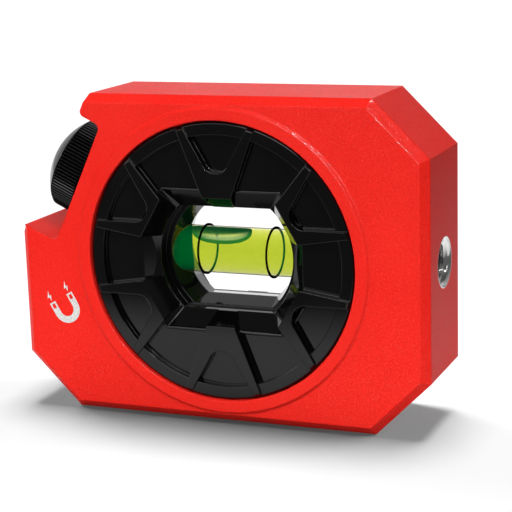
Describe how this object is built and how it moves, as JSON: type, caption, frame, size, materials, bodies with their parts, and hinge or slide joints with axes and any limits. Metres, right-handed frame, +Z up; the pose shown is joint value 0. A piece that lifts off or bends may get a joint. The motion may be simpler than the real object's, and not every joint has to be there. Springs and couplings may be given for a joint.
{
  "type": "magnetic pocket level",
  "caption": "Compact red block level with a turning black dial that holds a tubular vial, a toothed lock knob in a notch, base magnets and a threaded side socket.",
  "frame": {"origin": "middle of the base, under the middle of the block, on the plane that the level stands on", "axes": "+X along the block towards the threaded socket, +Y from the front face to the back, +Z up"},
  "size_m": [0.09, 0.025, 0.068],
  "materials": {
    "body_paint": "satin powder coat on a cast block",
    "magnet": "plated, satin",
    "bare_metal": "machined, bright",
    "dial_plastic": "moulded, glossy",
    "screw_steel": "blackened steel",
    "ring_rubber": "matte",
    "vial_clear": "clear, polished",
    "plug_plastic": "matte",
    "vial_liquid": "clear yellow-green",
    "vial_air": "clear",
    "line_ink": "matte black",
    "bush_brass": "turned",
    "shoe_plastic": "matte",
    "knob_plastic": "satin, fine straight teeth",
    "cap_plastic": "glossy dome"
  },
  "bodies": {
    "body": {"housing": "body_paint", "base_magnet_left": "magnet", "base_magnet_right": "magnet", "accessory_bush": "bare_metal", "lock_bush": "bush_brass"},
    "dial": {"dial_front": "dial_plastic", "dial_rear": "dial_plastic", "dial_screws": "screw_steel", "dial_drag_ring": "ring_rubber", "vial_tube": "vial_clear", "vial_plug_left": "plug_plastic", "vial_plug_right": "plug_plastic", "vial_liquid": "vial_liquid", "vial_line_left": "line_ink", "vial_line_right": "line_ink"},
    "bubble": {"vial_bubble": "vial_air"},
    "brake": {"lock_shoe": "shoe_plastic"},
    "lock_screw": {"lock_stud": "screw_steel", "lock_knob": "knob_plastic", "knob_cap": "cap_plastic"}
  },
  "joints": [
    {"name": "dial_turn", "type": "hinge", "parent": "body", "child": "dial", "pos_m": [0.001, 0, 0.034], "axis": [0, -1, 0], "continuous": true},
    {"name": "bubble_drift", "type": "slide", "parent": "dial", "child": "bubble", "axis": [1, 0, 0], "range_m": [-0.0039, 0.0125]},
    {"name": "brake_travel", "type": "slide", "parent": "body", "child": "brake", "axis": [-0.9033, 0, 0.4289], "range_m": [-0.00045, 0.001]},
    {"name": "lock_turn", "type": "hinge", "parent": "brake", "child": "lock_screw", "pos_m": [-0.03098, 0, 0.04918], "axis": [-0.9033, 0, 0.4289], "range_deg": [-162.5, 360.5]}
  ],
  "couplings": [
    {"joint": "lock_turn", "follows": "brake_travel", "rad_per_m": 6283.2}
  ]
}
